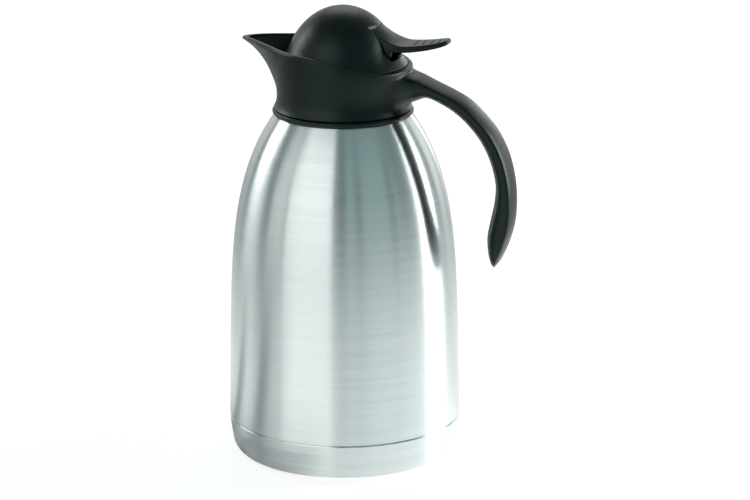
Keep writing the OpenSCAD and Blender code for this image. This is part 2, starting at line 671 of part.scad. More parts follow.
module rod_seal() {
    color(rubber) ring(rod_r + run_fit, rod_r + 1.8, guide_z + 0.2, 1.9);
}

outer_shell();
inner_flask();
shell_bottom();
port_seal();
getter();
base_cup();
collar();
collar_gasket();
stopper_body();
valve_seat();
stopper_seal();
lid_dome();
thumb_lever();
lever_pin();
valve_rod();
rod_cap();
valve_disc();
valve_seal();
valve_spring();
rod_guide();
rod_seal();
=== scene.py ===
import math

import bmesh
import bpy
from mathutils import Matrix, Vector


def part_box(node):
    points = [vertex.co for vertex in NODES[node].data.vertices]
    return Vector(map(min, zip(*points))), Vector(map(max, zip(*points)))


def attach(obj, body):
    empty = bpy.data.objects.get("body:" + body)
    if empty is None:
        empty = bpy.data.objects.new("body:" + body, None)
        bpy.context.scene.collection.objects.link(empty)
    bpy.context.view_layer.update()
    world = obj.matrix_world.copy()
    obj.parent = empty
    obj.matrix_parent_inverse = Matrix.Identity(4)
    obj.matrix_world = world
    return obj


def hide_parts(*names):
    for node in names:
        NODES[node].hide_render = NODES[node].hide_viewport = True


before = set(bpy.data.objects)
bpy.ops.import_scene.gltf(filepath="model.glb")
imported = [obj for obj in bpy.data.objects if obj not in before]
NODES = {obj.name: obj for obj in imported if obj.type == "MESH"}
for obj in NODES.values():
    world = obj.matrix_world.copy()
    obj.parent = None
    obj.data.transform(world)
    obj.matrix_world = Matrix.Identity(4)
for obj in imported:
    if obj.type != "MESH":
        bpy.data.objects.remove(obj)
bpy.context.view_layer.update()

MM = 0.001

# Places taken from the frame, in metres
LIP_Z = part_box("collar_gasket")[0].z
PIVOT = (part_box("lever_pin")[0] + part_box("lever_pin")[1]) / 2
LEVER_TIP_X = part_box("thumb_lever")[1].x


# Helpers for shader trees


def make_material(name):
    """An empty node material, its Principled shader and its node tree."""
    material = bpy.data.materials.new(name)
    material.use_nodes = True
    tree = material.node_tree
    tree.nodes.clear()
    shader = tree.nodes.new("ShaderNodeBsdfPrincipled")
    output = tree.nodes.new("ShaderNodeOutputMaterial")
    tree.links.new(shader.outputs[0], output.inputs[0])
    return material, shader, tree


def new_group(name, inputs, outputs):
    """A shader node group with named float inputs and outputs."""
    group = bpy.data.node_groups.new(name, "ShaderNodeTree")
    for label, value in inputs:
        socket = group.interface.new_socket(label, in_out="INPUT", socket_type="NodeSocketFloat")
        socket.default_value = value
    for label in outputs:
        group.interface.new_socket(label, in_out="OUTPUT", socket_type="NodeSocketFloat")
    return group, group.nodes.new("NodeGroupInput"), group.nodes.new("NodeGroupOutput")


def use_group(tree, group, **values):
    """The group placed in a material with its own values."""
    node = tree.nodes.new("ShaderNodeGroup")
    node.node_tree = group
    for label, value in values.items():
        node.inputs[label.replace("_", " ")].default_value = value
    return node


def math_node(tree, kind, *values, clamp=False):
    """A Math node whose inputs are numbers or other nodes' outputs."""
    node = tree.nodes.new("ShaderNodeMath")
    node.operation = kind
    node.use_clamp = clamp
    for socket, value in zip(node.inputs, values):
        if isinstance(value, (int, float)):
            socket.default_value = value
        else:
            tree.links.new(value, socket)
    return node.outputs[0]


def noise_node(tree, vector, detail=2.0, rough=0.5):
    """Noise of one unit's size along a vector."""
    node = tree.nodes.new("ShaderNodeTexNoise")
    node.inputs["Scale"].default_value = 1.0
    node.inputs["Detail"].default_value = detail
    node.inputs["Roughness"].default_value = rough
    tree.links.new(vector, node.inputs["Vector"])
    return node.outputs["Fac"]


def mix_colour(tree, share, a, b):
    """Colour a turning into colour b by share."""
    node = tree.nodes.new("ShaderNodeMix")
    node.data_type = "RGBA"
    tree.links.new(share, node.inputs["Factor"])
    for socket, value in ((node.inputs["A"], a), (node.inputs["B"], b)):
        if isinstance(value, tuple):
            socket.default_value = value + (1.0,)
        else:
            tree.links.new(value, socket)
    return node.outputs["Result"]


def map_range(tree, value, low, high, to_low, to_high, smooth=True):
    """The value taken from one range to another, held at both ends."""
    node = tree.nodes.new("ShaderNodeMapRange")
    node.interpolation_type = "SMOOTHSTEP" if smooth else "LINEAR"
    for label, number in (("From Min", low), ("From Max", high), ("To Min", to_low), ("To Max", to_high)):
        node.inputs[label].default_value = number
    tree.links.new(value, node.inputs["Value"])
    return node.outputs["Result"]


# Effects that several materials share


def build_brush_lines():
    """Fine lines brushed round the upright axis, with faint broader streaks."""
    group, inp, out = new_group(
        "brush_lines", [("Line Height", 0.0006), ("Line Length", 0.05)], ["Lines", "Streaks"])
    links = group.links
    split = group.nodes.new("ShaderNodeSeparateXYZ")
    links.new(group.nodes.new("ShaderNodeTexCoord").outputs["Object"], split.inputs[0])

    def stretched(height, length):
        join = group.nodes.new("ShaderNodeCombineXYZ")
        for axis in (0, 1):
            links.new(math_node(group, "DIVIDE", split.outputs[axis], length), join.inputs[axis])
        links.new(math_node(group, "DIVIDE", split.outputs[2], height), join.inputs[2])
        return join.outputs[0]

    line_height, line_length = inp.outputs["Line Height"], inp.outputs["Line Length"]
    fine = noise_node(group, stretched(line_height, line_length), 3.0, 0.6)
    broad_height = math_node(group, "MULTIPLY", line_height, 3.0)
    broad_length = math_node(group, "MULTIPLY", line_length, 2.5)
    broad = noise_node(group, stretched(broad_height, broad_length), 2.0, 0.5)
    links.new(fine, out.inputs["Lines"])
    links.new(broad, out.inputs["Streaks"])
    return group


def build_spark_grain():
    """The even grain of a spark-eroded mould, with a slow drift in depth."""
    group, inp, out = new_group(
        "spark_grain", [("Grain Size", 0.0006), ("Drift Size", 0.02)], ["Grain", "Drift"])
    links = group.links
    place = group.nodes.new("ShaderNodeTexCoord").outputs["Object"]

    def sized(size):
        scale = group.nodes.new("ShaderNodeVectorMath")
        scale.operation = "SCALE"
        links.new(place, scale.inputs[0])
        links.new(math_node(group, "DIVIDE", 1.0, size), scale.inputs["Scale"])
        return scale.outputs[0]

    links.new(noise_node(group, sized(inp.outputs["Grain Size"]), 2.0, 0.6), out.inputs["Grain"])
    links.new(noise_node(group, sized(inp.outputs["Drift Size"]), 2.0, 0.5), out.inputs["Drift"])
    return group


def build_edge_polish_and_highlight():
    """A mask that is high on convex edges, where hands rub the finish smooth and where the colour is
    lightened as a painted highlight.
    """
    group, inp, out = new_group("edge_polish_and_highlight", [("Sharpness", 6.0)], ["Edge"])
    pointiness = group.nodes.new("ShaderNodeNewGeometry").outputs["Pointiness"]
    lifted = math_node(group, "SUBTRACT", pointiness, 0.5)
    edge = math_node(group, "MULTIPLY", lifted, inp.outputs["Sharpness"], clamp=True)
    group.links.new(edge, out.inputs["Edge"])
    return group


BRUSH_LINES = build_brush_lines()
SPARK_GRAIN = build_spark_grain()
EDGE_POLISH_AND_HIGHLIGHT = build_edge_polish_and_highlight()


# Materials


LINE_LENGTH = 0.045
LINE_SHADE, STREAK_SHADE = 0.78, 0.88
UPRIGHT_STRETCH, STRETCH_TURN = 0.95, 0.25
GRAIN_DRIFT, POLISH_AND_HIGHLIGHT_SHARPNESS = 0.018, 5.0
# The second tint lightens convex edges as a painted highlight.
GRAIN_TINT, EDGE_HIGHLIGHT_TINT = 1.5, 2.2
PLASTIC_SHINE = 0.27
SHINE_TINT = (0.74, 1.0, 1.0, 1.0)


def satin_steel(name, colour, roughness, line_height, depth, round_the_axis=True):
    """Stainless sheet brushed round the axis, so that highlights stretch upright."""
    material, shader, tree = make_material(name)
    lines = use_group(tree, BRUSH_LINES, Line_Height=line_height, Line_Length=LINE_LENGTH)
    dull = tuple(LINE_SHADE * c for c in colour)
    tint = mix_colour(tree, lines.outputs["Lines"], dull, colour)
    streak = math_node(tree, "MULTIPLY", lines.outputs["Streaks"], 0.5)
    tint = mix_colour(tree, streak, tint, tuple(STREAK_SHADE * c for c in colour))
    tree.links.new(tint, shader.inputs["Base Color"])
    rough = math_node(tree, "MULTIPLY_ADD", lines.outputs["Streaks"], 0.10, roughness - 0.05)
    tree.links.new(rough, shader.inputs["Roughness"])
    shader.inputs["Metallic"].default_value = 1.0
    if round_the_axis:
        shader.inputs["Anisotropic"].default_value = UPRIGHT_STRETCH
        shader.inputs["Anisotropic Rotation"].default_value = STRETCH_TURN
        tangent = tree.nodes.new("ShaderNodeTangent")
        tangent.direction_type = "RADIAL"
        tangent.axis = "Z"
        tree.links.new(tangent.outputs[0], shader.inputs["Tangent"])
    bump = tree.nodes.new("ShaderNodeBump")
    bump.inputs["Strength"].default_value = 0.4
    bump.inputs["Distance"].default_value = depth
    tree.links.new(lines.outputs["Lines"], bump.inputs["Height"])
    tree.links.new(bump.outputs[0], shader.inputs["Normal"])
    return material


def grained_plastic(name, colour, roughness, grain, depth, edge=0.5):
    """Moulded plastic with a fine spark grain, slightly polished edges and a painted highlight on its convex
    edges.
    """
    material, shader, tree = make_material(name)
    texture = use_group(tree, SPARK_GRAIN, Grain_Size=grain, Drift_Size=GRAIN_DRIFT)
    polish_and_highlight_node = use_group(tree, EDGE_POLISH_AND_HIGHLIGHT, Sharpness=POLISH_AND_HIGHLIGHT_SHARPNESS)
    # The edge mask lowers the roughness on convex edges and paints a highlight there.
    polish_and_highlight = math_node(tree, "MULTIPLY", polish_and_highlight_node.outputs["Edge"], edge)
    tint = mix_colour(tree, texture.outputs["Grain"], colour, tuple(GRAIN_TINT * c for c in colour))
    # Painted highlight: a lighter colour on convex edges.
    tint = mix_colour(tree, polish_and_highlight, tint, tuple(EDGE_HIGHLIGHT_TINT * c for c in colour))
    tree.links.new(tint, shader.inputs["Base Color"])
    rough = math_node(tree, "MULTIPLY_ADD", texture.outputs["Drift"], 0.08, roughness - 0.04)
    rough = math_node(tree, "SUBTRACT", rough, math_node(tree, "MULTIPLY", polish_and_highlight, 0.12))
    tree.links.new(rough, shader.inputs["Roughness"])
    shader.inputs["Specular IOR Level"].default_value = PLASTIC_SHINE
    shader.inputs["Specular Tint"].default_value = SHINE_TINT
    bump = tree.nodes.new("ShaderNodeBump")
    bump.inputs["Strength"].default_value = 0.6
    bump.inputs["Distance"].default_value = depth
    tree.links.new(texture.outputs["Grain"], bump.inputs["Height"])
    tree.links.new(bump.outputs[0], shader.inputs["Normal"])
    return material


BODY_STEEL = satin_steel("body_steel", (0.64, 0.70, 0.695), 0.30, 0.0007, 0.00003)
FLASK_STEEL = satin_steel("flask_steel", (0.66, 0.68, 0.67), 0.22, 0.0012, 0.00002)
TRIM_STEEL = satin_steel("trim_steel", (0.62, 0.64, 0.63), 0.25, 0.0004, 0.00001, round_the_axis=False)
COLLAR_PLASTIC = grained_plastic("collar_plastic", (0.0013, 0.0022, 0.0024), 0.33, 0.0009, 0.0003)
LID_PLASTIC = grained_plastic("lid_plastic", (0.0013, 0.0022, 0.0024), 0.32, 0.0009, 0.0003)
STOPPER_PLASTIC = grained_plastic("stopper_plastic", (0.012, 0.013, 0.013), 0.45, 0.0009, 0.00008, edge=0.2)
SEAL_RUBBER = grained_plastic("seal_rubber", (0.035, 0.036, 0.036), 0.6, 0.0005, 0.00004, edge=0.0)
PORT_BRASS = satin_steel("port_brass", (0.62, 0.47, 0.22), 0.35, 0.0005, 0.00001, round_the_axis=False)

FINISH = {
    "outer_shell": BODY_STEEL, "base_cup": BODY_STEEL,
    "inner_flask": FLASK_STEEL, "shell_bottom": FLASK_STEEL, "getter": FLASK_STEEL,
    "port_seal": PORT_BRASS,
    "collar": COLLAR_PLASTIC,
    "lid_dome": LID_PLASTIC, "thumb_lever": LID_PLASTIC,
    "stopper_body": STOPPER_PLASTIC, "rod_guide": STOPPER_PLASTIC,
    "rod_cap": STOPPER_PLASTIC, "valve_disc": STOPPER_PLASTIC,
    "collar_gasket": SEAL_RUBBER, "stopper_seal": SEAL_RUBBER,
    "valve_seal": SEAL_RUBBER, "rod_seal": SEAL_RUBBER,
    "valve_seat": TRIM_STEEL, "lever_pin": TRIM_STEEL,
    "valve_rod": TRIM_STEEL, "valve_spring": TRIM_STEEL,
}
for node_name, finish in FINISH.items():
    node_mesh = NODES[node_name].data
    node_mesh.materials.clear()
    node_mesh.materials.append(finish)


# Helpers for meshes, in millimetres until a piece is made


SHARP_EDGE, MOULDED_EDGE = 35, 40
ROD_SIDES, COLUMN_SIDES = 48, 128


def clamp01(v):
    return max(0.0, min(1.0, v))


def ease(v):
    v = clamp01(v)
    return v * v * (3 - 2 * v)


def mix(a, b, v):
    return a + (b - a) * v


def band_faces(rings, count):
    """Quads between rings that follow each other in one list of points."""
    faces = []
    for i in range(rings - 1):
        for j in range(count):
            k = (j + 1) % count
            faces.append((i * count + j, i * count + k, (i + 1) * count + k, (i + 1) * count + j))
    return faces


def make_piece(name, points, faces, material, sharp=SHARP_EDGE):
    """An object from points in millimetres, smooth apart from its sharp edges."""
    mesh = bpy.data.meshes.new(name)
    mesh.from_pydata([[c * MM for c in p] for p in points], [], faces)
    shape = bmesh.new()
    shape.from_mesh(mesh)
    bmesh.ops.recalc_face_normals(shape, faces=shape.faces)
    shape.to_mesh(mesh)
    shape.free()
    mesh.polygons.foreach_set("use_smooth", [True] * len(mesh.polygons))
    mesh.set_sharp_from_angle(angle=math.radians(sharp))
    mesh.materials.append(material)
    piece = bpy.data.objects.new(name, mesh)
    bpy.context.scene.collection.objects.link(piece)
    return piece


# Collar with spout and handle, one moulding


NECK_FOOT_H, NECK_H = 5.4, 9.0
FOOT = LIP_Z / MM - NECK_FOOT_H - NECK_H
BEAD_R, BEAD_H = 44.3, 3.3
WAIST_R, WAIST_H = 41.4, 11.4
RIM_R, RIM_ROUND, LIP_ROUND = 43.7, 1.3, 0.4
RIM_FRONT_H, RIM_DROP = 43.0, 11.8
RIM_SLOPE_X, RIM_SLOPE_RUN = 20, 64
SPOUT_L, SPOUT_RISE, SPOUT_ROUND = 67.5, 2.4, 4.0
SPOUT_RISE_ANGLE = 42
SPOUT_STRAIGHT, SPOUT_FLARE, FLARE_CURVE = 0.54, 0.46, 4.2
THREAD_R, LEDGE_R = 38.2, 32.7
MOUTH_R = 40.72
THREAD_LOW, THREAD_TOP, LEDGE_H = 18.4, 26.4, 16.4
NECK_FIT_R = 36.1
COLLAR_TURNS = 240


def rim_height(a):
    """Height of the rim over the foot at a degrees from the spout."""
    drop = RIM_DROP * ease((RIM_SLOPE_X - RIM_R * math.cos(math.radians(a))) / RIM_SLOPE_RUN)
    return RIM_FRONT_H - drop + SPOUT_RISE * ease(1 - abs(a) / SPOUT_RISE_ANGLE)


def wall_radius(h, rim_h):
    """Radius of the collar's wall without its spout."""
    return mix(WAIST_R, RIM_R, ease((h - WAIST_H) / (rim_h - WAIST_H)))


def spout_ridge(h):
    """Distance of the spout's ridge from the axis."""
    t = max(0.0, h - WAIST_H) / (RIM_FRONT_H + SPOUT_RISE - WAIST_H)
    return WAIST_R + 0.1 + (SPOUT_L - WAIST_R - 0.1) * (SPOUT_STRAIGHT * t + SPOUT_FLARE * t ** FLARE_CURVE)


def plan_radius(a, r, ridge):
    """Plan of the collar: a circle whose straight sides meet at the spout's ridge."""
    if ridge <= r * 1.002:
        return r
    turn = math.degrees(math.acos(r / ridge)) + SPOUT_ROUND
    a = math.hypot(a, SPOUT_ROUND)
    return r if a >= turn else r / math.cos(math.radians(turn - a))


def collar_section(a):
    """Upright section of the collar at a degrees from the spout, as radius and height."""
    rim_h = rim_height(a)
    top = rim_h - RIM_ROUND
    bead = BEAD_H / 2
    rows = [(BEAD_R - 1.6, 0.05)]
    for i in range(13):
        turn = math.radians(-80 + i * 160 / 12)
        rows.append((BEAD_R - bead + bead * math.cos(turn), bead + bead * math.sin(turn)))
    rows.append((BEAD_R - 2.1, BEAD_H + 0.25))
    for i in range(13):
        t = i / 12
        rows.append((WAIST_R + 2.0 * (1 - t) ** 2.3, mix(BEAD_H + 0.7, WAIST_H, t)))
    for i in range(1, 25):
        h = mix(WAIST_H, top, i / 24)
        rows.append((plan_radius(a, wall_radius(h, rim_h), spout_ridge(h)), h))
    outer = plan_radius(a, RIM_R, spout_ridge(top))
    inner = outer * MOUTH_R / RIM_R
    for i in range(1, 9):
        turn = math.radians(i * 90 / 8)
        rows.append((outer - 1.6 * (1 - math.cos(turn)), top + RIM_ROUND * math.sin(turn)))
    for i in range(0, 5):
        turn = math.radians(i * 90 / 4)
        rows.append((inner + LIP_ROUND * (1 - math.sin(turn)), rim_h - LIP_ROUND * (1 - math.cos(turn))))
    for i in range(13):
        h = mix(rim_h - 1.5 * LIP_ROUND, THREAD_TOP + 2.4, i / 12)
        inner = plan_radius(a, RIM_R, spout_ridge(h))
        rows.append((inner * MOUTH_R / RIM_R, h))
    rows += [(THREAD_R, THREAD_TOP), (THREAD_R, THREAD_LOW), (LEDGE_R, THREAD_LOW), (LEDGE_R, LEDGE_H),
             (NECK_FIT_R, LEDGE_H), (NECK_FIT_R, NECK_FOOT_H)]
    return rows


def collar_turns(count):
    """Angles from the spout all the way round, closer together near its tip."""
    turns = []
    for i in range(count):
        u = 2 * i / count - 1
        turns.append(180 * (0.62 * u + 0.38 * u ** 3))
    return turns


# Handle stations: back point, inner point and half width. A point is its distance from the axis
# and its height over the collar's foot. HANDLE_FIT brings the curve between them to the solid's reach.
HANDLE_HALF_W = 11.75
HANDLE_BULGE = 1.0
HANDLE_FIT = 0.9972
GRIP = [
    ((44.0, 28.6), (44.0, 8.2), 13.6),
    ((51.0, 25.6), (49.0, 10.7), 12.5),
    ((61.2, 21.1), (55.8, 12.6), HANDLE_HALF_W),
    ((71.3, 16.6), (66.0, 8.4), HANDLE_HALF_W),
    ((80.9, 11.2), (74.5, 3.0), HANDLE_HALF_W),
    ((90.4, 2.4), (82.5, -4.4), HANDLE_HALF_W),
    ((98.6, -7.3), (89.8, -14.0), HANDLE_HALF_W),
    ((105.5, -20.9), (95.2, -25.4), HANDLE_HALF_W),
    ((109.6, -36.6), (98.6, -39.0), HANDLE_HALF_W),
    ((110.9, -51.6), (98.0, -51.2), HANDLE_HALF_W),
    ((109.9, -66.1), (95.5, -63.2), HANDLE_HALF_W),
    ((106.5, -78.6), (93.6, -73.8), HANDLE_HALF_W),
    ((102.9, -87.4), (94.2, -83.0), HANDLE_HALF_W * 0.86),
    ((100.3, -92.0), (95.8, -89.8), HANDLE_HALF_W * 0.60),
    ((98.8, -93.8), (97.5, -93.4), HANDLE_HALF_W * 0.22),
]
RING_POINTS = 56
GRIP_STEPS, ROOT_STEPS = 150, 14
GRIP_CORNER = 3.0
ROOT_LOW_H, ROOT_HIGH_H, ROOT_SPREAD = 4.5, 30.0, 8.5


def spline(a, b, c, d, u):
    """Smooth curve from b to c."""
    return b + 0.5 * u * (c - a + u * (2 * a - 5 * b + 4 * c - d + u * (3 * (b - c) + d - a)))


def grip_station(s):
    """Back point, inner point and half width of the handle at the station s."""
    i = min(int(s), len(GRIP) - 2)
    four = [GRIP[max(0, min(len(GRIP) - 1, i + k))] for k in (-1, 0, 1, 2)]
    u = s - i
    back = [spline(*(f[0][k] for f in four), u) for k in (0, 1)]
    inner = [spline(*(f[1][k] for f in four), u) for k in (0, 1)]
    return back, inner, spline(*(f[2] for f in four), u)


def grip_ring(s):
    """Section of the handle: a crowned back with rounded corners and a full inner side."""
    back, inner, half_w = grip_station(s)
    depth = math.hypot(inner[0] - back[0], inner[1] - back[1])
    corner = min(GRIP_CORNER, depth * 0.34)
    ring = []
    for i in range(RING_POINTS):
        turn = 2 * math.pi * i / RING_POINTS
        c, n = math.cos(turn), math.sin(turn)
        if n < 0:
            across = math.copysign(abs(c) ** 0.55, c)
            crown = HANDLE_BULGE * (1 - across * across) * min(1.0, half_w / HANDLE_HALF_W)
            into = corner - (corner - HANDLE_BULGE) * abs(n) ** 0.5 - crown
        else:
            across = c * (1 - 0.06 * n)
            into = corner + (depth - corner) * n ** 0.75
        share = into / depth
        x = HANDLE_FIT * mix(back[0], inner[0], share)
        ring.append((x, half_w * across, FOOT + mix(back[1], inner[1], share)))
    return ring


def handle_root(rings):
    """Rings that spread from the handle's first ring on to the collar's wall, like a soft fillet."""
    first, second = rings[0], rings[1]
    mid_z = sum(p[2] for p in first) / len(first)
    points = []
    for p, q in zip(first, second):
        lean = math.atan2((p[2] - mid_z) / 9.0, p[1] / HANDLE_HALF_W)
        out_y, out_z = math.cos(lean), math.sin(lean)
        rise = 3.0 * clamp01(0.5 + out_z) + out_z * (1.0 if out_z > 0 else 6.2)
        y = p[1] * 1.04 + out_y * ROOT_SPREAD
        z = max(FOOT + ROOT_LOW_H, min(p[2] + rise, FOOT + ROOT_HIGH_H))
        wall = wall_radius(z - FOOT, rim_height(180 - math.degrees(math.asin(y / WAIST_R))))
        root = Vector((math.sqrt(wall * wall - y * y) - 0.04, y, z))
        end = Vector(p)
        reach = (end - root).length
        start_way = Vector((0.0, end.y - root.y, end.z - root.z))
        start_slope = Vector((-root.y / root.x * start_way.y, start_way.y, start_way.z)).normalized() * reach
        end_way = (Vector(q) - end).normalized() * reach
        points.append((root, start_slope, end, end_way))
    made = [[(r.x - 1.6, r.y * 0.97, r.z) for r, _, _, _ in points]]
    for i in range(ROOT_STEPS):
        u = i / ROOT_STEPS
        made.append([tuple(
            (2 * u ** 3 - 3 * u * u + 1) * r + (u ** 3 - 2 * u * u + u) * rw * 1.1
            + (3 * u * u - 2 * u ** 3) * e + (u ** 3 - u * u) * ew * 0.9) for r, rw, e, ew in points])
    return made


def collar_moulding():
    """The collar's wall, bead, rim and spout, with the handle grown out of it."""
    turns = collar_turns(COLLAR_TURNS)
    points = []
    for a in turns:
        c, n = math.cos(math.radians(a)), math.sin(math.radians(a))
        section = collar_section(a)
        points += [(-r * c, -r * n, FOOT + h) for r, h in section]
    rows = len(section)
    faces = []
    for i in range(len(turns)):
        nxt = (i + 1) % len(turns)
        for j in range(rows):
            k = (j + 1) % rows
            faces.append((i * rows + j, i * rows + k, nxt * rows + k, nxt * rows + j))
    last = len(GRIP) - 1
    rings = [grip_ring(1 + (last - 1) * i / GRIP_STEPS) for i in range(GRIP_STEPS + 1)]
    rings = handle_root(rings) + rings
    start = len(points)
    for ring in rings:
        points += ring
    faces += [tuple(start + v for v in f) for f in band_faces(len(rings), RING_POINTS)]
    tip = len(points) - RING_POINTS
    faces.append(tuple(tip + j for j in range(RING_POINTS)))
    faces.append(tuple(start + j for j in range(RING_POINTS)))
    piece = make_piece("collar_moulding", points, faces, COLLAR_PLASTIC, MOULDED_EDGE)
    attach(piece, "jug")
    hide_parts("collar")


collar_moulding()


# Thumb lever


PIVOT_X, PIVOT_Z = PIVOT.x / MM, PIVOT.z / MM
LEVER_L = LEVER_TIP_X / MM
LEVER_HALF_W = 12.5
SLOT_FRONT_R = 24.3
SKIN_T = 2.3
PIN_R = 2.05
BOSS_R = 4.4
CAP_Z = PIVOT_Z - 2.3
FINGER_Y = 4.9
LEVER_X0 = PIVOT_X - 3
LEVER_X1 = SLOT_FRONT_R + 12
LEG_X = LEVER_X1 - 2.5
BEND_X = SLOT_FRONT_R + 17.7
PADDLE_X = LEVER_L - 8
TOP_OVER_PIN, UNDER_PIN, LEG_DEPTH = 1.8, 2.3, 2.9
BACK_LIFT, PADDLE_LIFT = 10.2, 3.9
DIMPLE_ROWS, DIMPLE_COLUMNS = 3, 4
DIMPLE_PITCH_X, DIMPLE_PITCH_Y = 5.0, 4.6
DIMPLE_X0 = 47.5
DIMPLE_R, DIMPLE_DEPTH = 1.3, 1.2


def lever_top(x):
    """Height of the lever's top line."""
    low = PIVOT_Z + TOP_OVER_PIN
    if x < BEND_X:
        return low + BACK_LIFT * ((BEND_X - x) / 21) ** 1.75
    return low + 0.05 + PADDLE_LIFT * ((x - BEND_X) / (LEVER_L - BEND_X)) ** 1.6


def lever_low(x):
    """Height of the lever's underside."""
    if x < LEVER_X1:
        return PIVOT_Z - UNDER_PIN - LEG_DEPTH + LEG_DEPTH * ease((x - LEG_X) / 0.7)
    return PIVOT_Z - UNDER_PIN + 5.2 * ((x - LEVER_X1) / (LEVER_L - LEVER_X1)) ** 2.1


def lever_half(x):
    """Half width of the lever, which narrows into a rounded paddle."""
    if x < LEVER_X1:
        return LEVER_HALF_W
    if x < PADDLE_X:
        return LEVER_HALF_W * (1 - 0.344 * ((x - LEVER_X1) / (PADDLE_X - LEVER_X1)) ** 1.2)
    u = (x - PADDLE_X) / (LEVER_L - PADDLE_X)
    return LEVER_HALF_W * (0.656 - 0.08 * u) * max(0.004, 1 - u ** 2.3) ** (1 / 2.3)


def dimple(x, y):
    """Depth of the grip dimples at a point of the lever's top."""
    for i in range(DIMPLE_COLUMNS):
        for j in range(DIMPLE_ROWS):
            away = math.hypot(x - DIMPLE_X0 - i * DIMPLE_PITCH_X, y - (j - 1) * DIMPLE_PITCH_Y)
            if away < DIMPLE_R:
                return DIMPLE_DEPTH * (1 - ease(away / DIMPLE_R))
    return 0.0


def lever_ring(x):
    """Rounded section of the lever at x."""
    w = lever_half(x)
    top, low = lever_top(x), lever_low(x)
    nose = math.sqrt(1 - 0.8 * clamp01((x - LEVER_L + 2.6) / 2.6) ** 2)
    middle = (top + low) / 2
    top, low = mix(middle, top, nose), mix(middle, low, nose)
    corner = min(1.0, (top - low) / 3, w / 3)
    crown = (0.2 + 3 * ease((LEVER_X1 + 3 - x) / 15)) * min(1.0, w / 6)
    flat = w - corner
    ring = []
    for i in range(49):
        y = flat * (-1 + 2 * i / 48)
        z = top + crown * (1 - (y / w) ** 2) - crown * (1 - (flat / w) ** 2)
        ring.append((x, y, z - dimple(x, y)))
    for start, cy, cz in ((90, flat, top - corner), (0, flat, low + corner),
                          (-90, -flat, low + corner), (-180, -flat, top - corner)):
        for i in range(1 if start == 90 else 0, 6 if start == -180 else 7):
            turn = math.radians(start - 15 * i)
            ring.append((x, cy + corner * math.cos(turn), cz + corner * math.sin(turn)))
    return ring


def loft(rings):
    """Points and faces of a closed skin through rings."""
    count = len(rings[0])
    points = [p for ring in rings for p in ring]
    faces = band_faces(len(rings), count)
    faces.append(tuple(range(count)))
    faces.append(tuple(len(points) - count + j for j in range(count)))
    return points, faces


def prism_y(outline, half):
    """A profile in x and z carried from -half to half along y."""
    return loft([[(x, side, z) for x, z in outline] for side in (-half, half)])


def rod_y(x, z, radius, half):
    """A round bar along y."""
    steps = [2 * math.pi * i / ROD_SIDES for i in range(ROD_SIDES)]
    return prism_y([(x + radius * math.cos(t), z + radius * math.sin(t)) for t in steps], half)


def column(radius, low, high):
    """A round bar along the axis, shown only by what it cuts."""
    steps = [2 * math.pi * i / COLUMN_SIDES for i in range(COLUMN_SIDES)]
    return loft([[(radius * math.cos(t), radius * math.sin(t), z) for t in steps] for z in (low, high)])


def shifted(shape, y):
    """The same points and faces moved along y."""
    points, faces = shape
    return [(p[0], p[1] + y, p[2]) for p in points], faces


def carve(piece, kind, shapes):
    """Cuts shapes from a piece, or joins them to it, and keeps the result in its mesh."""
    tools = []
    for shape in shapes:
        tool = make_piece("tool", shape[0], shape[1], piece.data.materials[0])
        change = piece.modifiers.new("carve", "BOOLEAN")
        change.operation = kind
        change.solver = "EXACT"
        change.object = tool
        tools.append(tool)
    bpy.context.view_layer.update()
    done = piece.evaluated_get(bpy.context.evaluated_depsgraph_get())
    mesh = bpy.data.meshes.new_from_object(done)
    piece.modifiers.clear()
    piece.data = mesh
    for tool in tools:
        bpy.data.objects.remove(tool)


def lever_pocket():
    """Hollow under the lever's skin, between its two cheeks."""
    back = SLOT_FRONT_R + SKIN_T - 0.5
    outline = [(LEVER_X0 - 1, PIVOT_Z - 10), (LEVER_X1 + 1, PIVOT_Z - 10)]
    for i in range(9):
        x = mix(LEVER_X1 + 1, back, i / 8)
        outline.append((x, lever_top(x) - SKIN_T))
    outline += [(back, PIVOT_Z + 5), (LEVER_X0 - 1, PIVOT_Z + 5)]
    return prism_y(outline, LEVER_HALF_W - SKIN_T)


def lever_arm():
    """One finger of the fork that lifts the rod's cap, with its round nub."""
    low, high = CAP_Z - 4, CAP_Z - 1.2
    outline = [(-1.5, low), (PIVOT_X, low), (PIVOT_X, high), (1.6, high)]
    outline += [(1.5 * math.cos(math.radians(t)), CAP_Z - 1.5 + 1.5 * math.sin(math.radians(t)))
                for t in range(15, 181, 15)]
    return prism_y(outline, 1.6)


def thumb_lever():
    """The lever with its skin, cheeks, pin boss, lifting fork and grip dimples."""
    places = [mix(LEVER_X0, LEG_X, i / 20) for i in range(21)]
    places += [LEG_X + 0.35, LEG_X + 0.7]
    places += [mix(LEVER_X1, PADDLE_X, i / 70) for i in range(71)]
    places += [mix(PADDLE_X, LEVER_L, 1 - (1 - i / 24) ** 2) for i in range(1, 24)] + [LEVER_L - 0.01]
    points, faces = loft([lever_ring(x) for x in places])
    piece = make_piece("thumb_lever_moulding", points, faces, LID_PLASTIC, MOULDED_EDGE)
    carve(piece, "DIFFERENCE", [column(SLOT_FRONT_R, PIVOT_Z + 5, PIVOT_Z + 60), lever_pocket()])
    carve(piece, "UNION", [rod_y(PIVOT_X, PIVOT_Z, BOSS_R, LEVER_HALF_W - 0.02),
                           shifted(lever_arm(), FINGER_Y), shifted(lever_arm(), -FINGER_Y)])
    carve(piece, "DIFFERENCE", [rod_y(PIVOT_X, PIVOT_Z, PIN_R, LEVER_HALF_W * 2)])
    piece.data.polygons.foreach_set("use_smooth", [True] * len(piece.data.polygons))
    piece.data.set_sharp_from_angle(angle=math.radians(MOULDED_EDGE))
    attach(piece, "lever")
    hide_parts("thumb_lever")


thumb_lever()


# Rounded edges on the dome, as a moulding has


